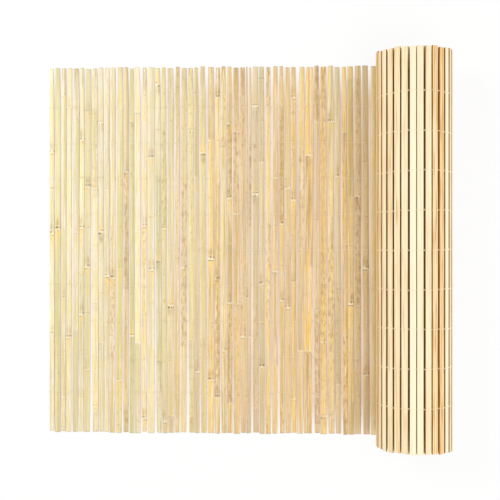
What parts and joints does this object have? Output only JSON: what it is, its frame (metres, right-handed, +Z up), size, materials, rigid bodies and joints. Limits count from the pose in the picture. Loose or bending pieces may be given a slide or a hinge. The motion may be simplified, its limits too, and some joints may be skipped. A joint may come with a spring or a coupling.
{
  "type": "bamboo fence panel",
  "caption": "Mat of split bamboo slats bound side by side with rows of twisted thread, laid out flat, with the rest of it wound in a hollow roll at one end.",
  "frame": {"origin": "middle of the footprint, on the ground that the panel lies on", "axes": "+X from the mat's free edge towards the roll, +Y along the slats, +Z up from the ground"},
  "size_m": [1.0684, 1, 0.1966],
  "materials": {
    "slat_skin": "natural bamboo skin, satin, with nodes and stains",
    "slat_planed": "pale planed bamboo, fine straight grain",
    "thread": "thin clear nylon thread"
  },
  "bodies": {
    "root": {"slat_01": "slat_skin", "slat_02": "slat_skin", "slat_03": "slat_skin", "slat_04": "slat_skin", "slat_05": "slat_skin", "slat_06": "slat_skin", "slat_07": "slat_skin", "slat_08": "slat_skin", "slat_09": "slat_skin", "slat_10": "slat_skin", "slat_11": "slat_skin", "slat_12": "slat_skin", "slat_13": "slat_skin", "slat_14": "slat_skin", "slat_15": "slat_skin", "slat_16": "slat_skin", "slat_17": "slat_skin", "slat_18": "slat_skin", "slat_19": "slat_skin", "slat_20": "slat_skin", "slat_21": "slat_skin", "slat_22": "slat_skin", "slat_23": "slat_skin", "slat_24": "slat_skin", "slat_25": "slat_skin", "slat_26": "slat_skin", "slat_27": "slat_skin", "slat_28": "slat_skin", "slat_29": "slat_skin", "slat_30": "slat_skin", "slat_31": "slat_skin", "slat_32": "slat_skin", "slat_33": "slat_skin", "slat_34": "slat_skin", "slat_35": "slat_skin", "slat_36": "slat_skin", "slat_37": "slat_skin", "slat_38": "slat_skin", "slat_39": "slat_skin", "slat_40": "slat_skin", "slat_41": "slat_skin", "slat_42": "slat_skin", "slat_43": "slat_skin", "slat_44": "slat_skin", "slat_45": "slat_skin", "slat_46": "slat_skin", "slat_47": "slat_skin", "slat_48": "slat_skin", "slat_49": "slat_skin", "slat_50": "slat_skin", "binding_1": "thread", "binding_2": "thread", "binding_3": "thread", "binding_4": "thread", "binding_5": "thread", "binding_6": "thread", "binding_7": "thread", "binding_8": "thread", "binding_9": "thread", "roll": "slat_planed"}
  },
  "joints": []
}
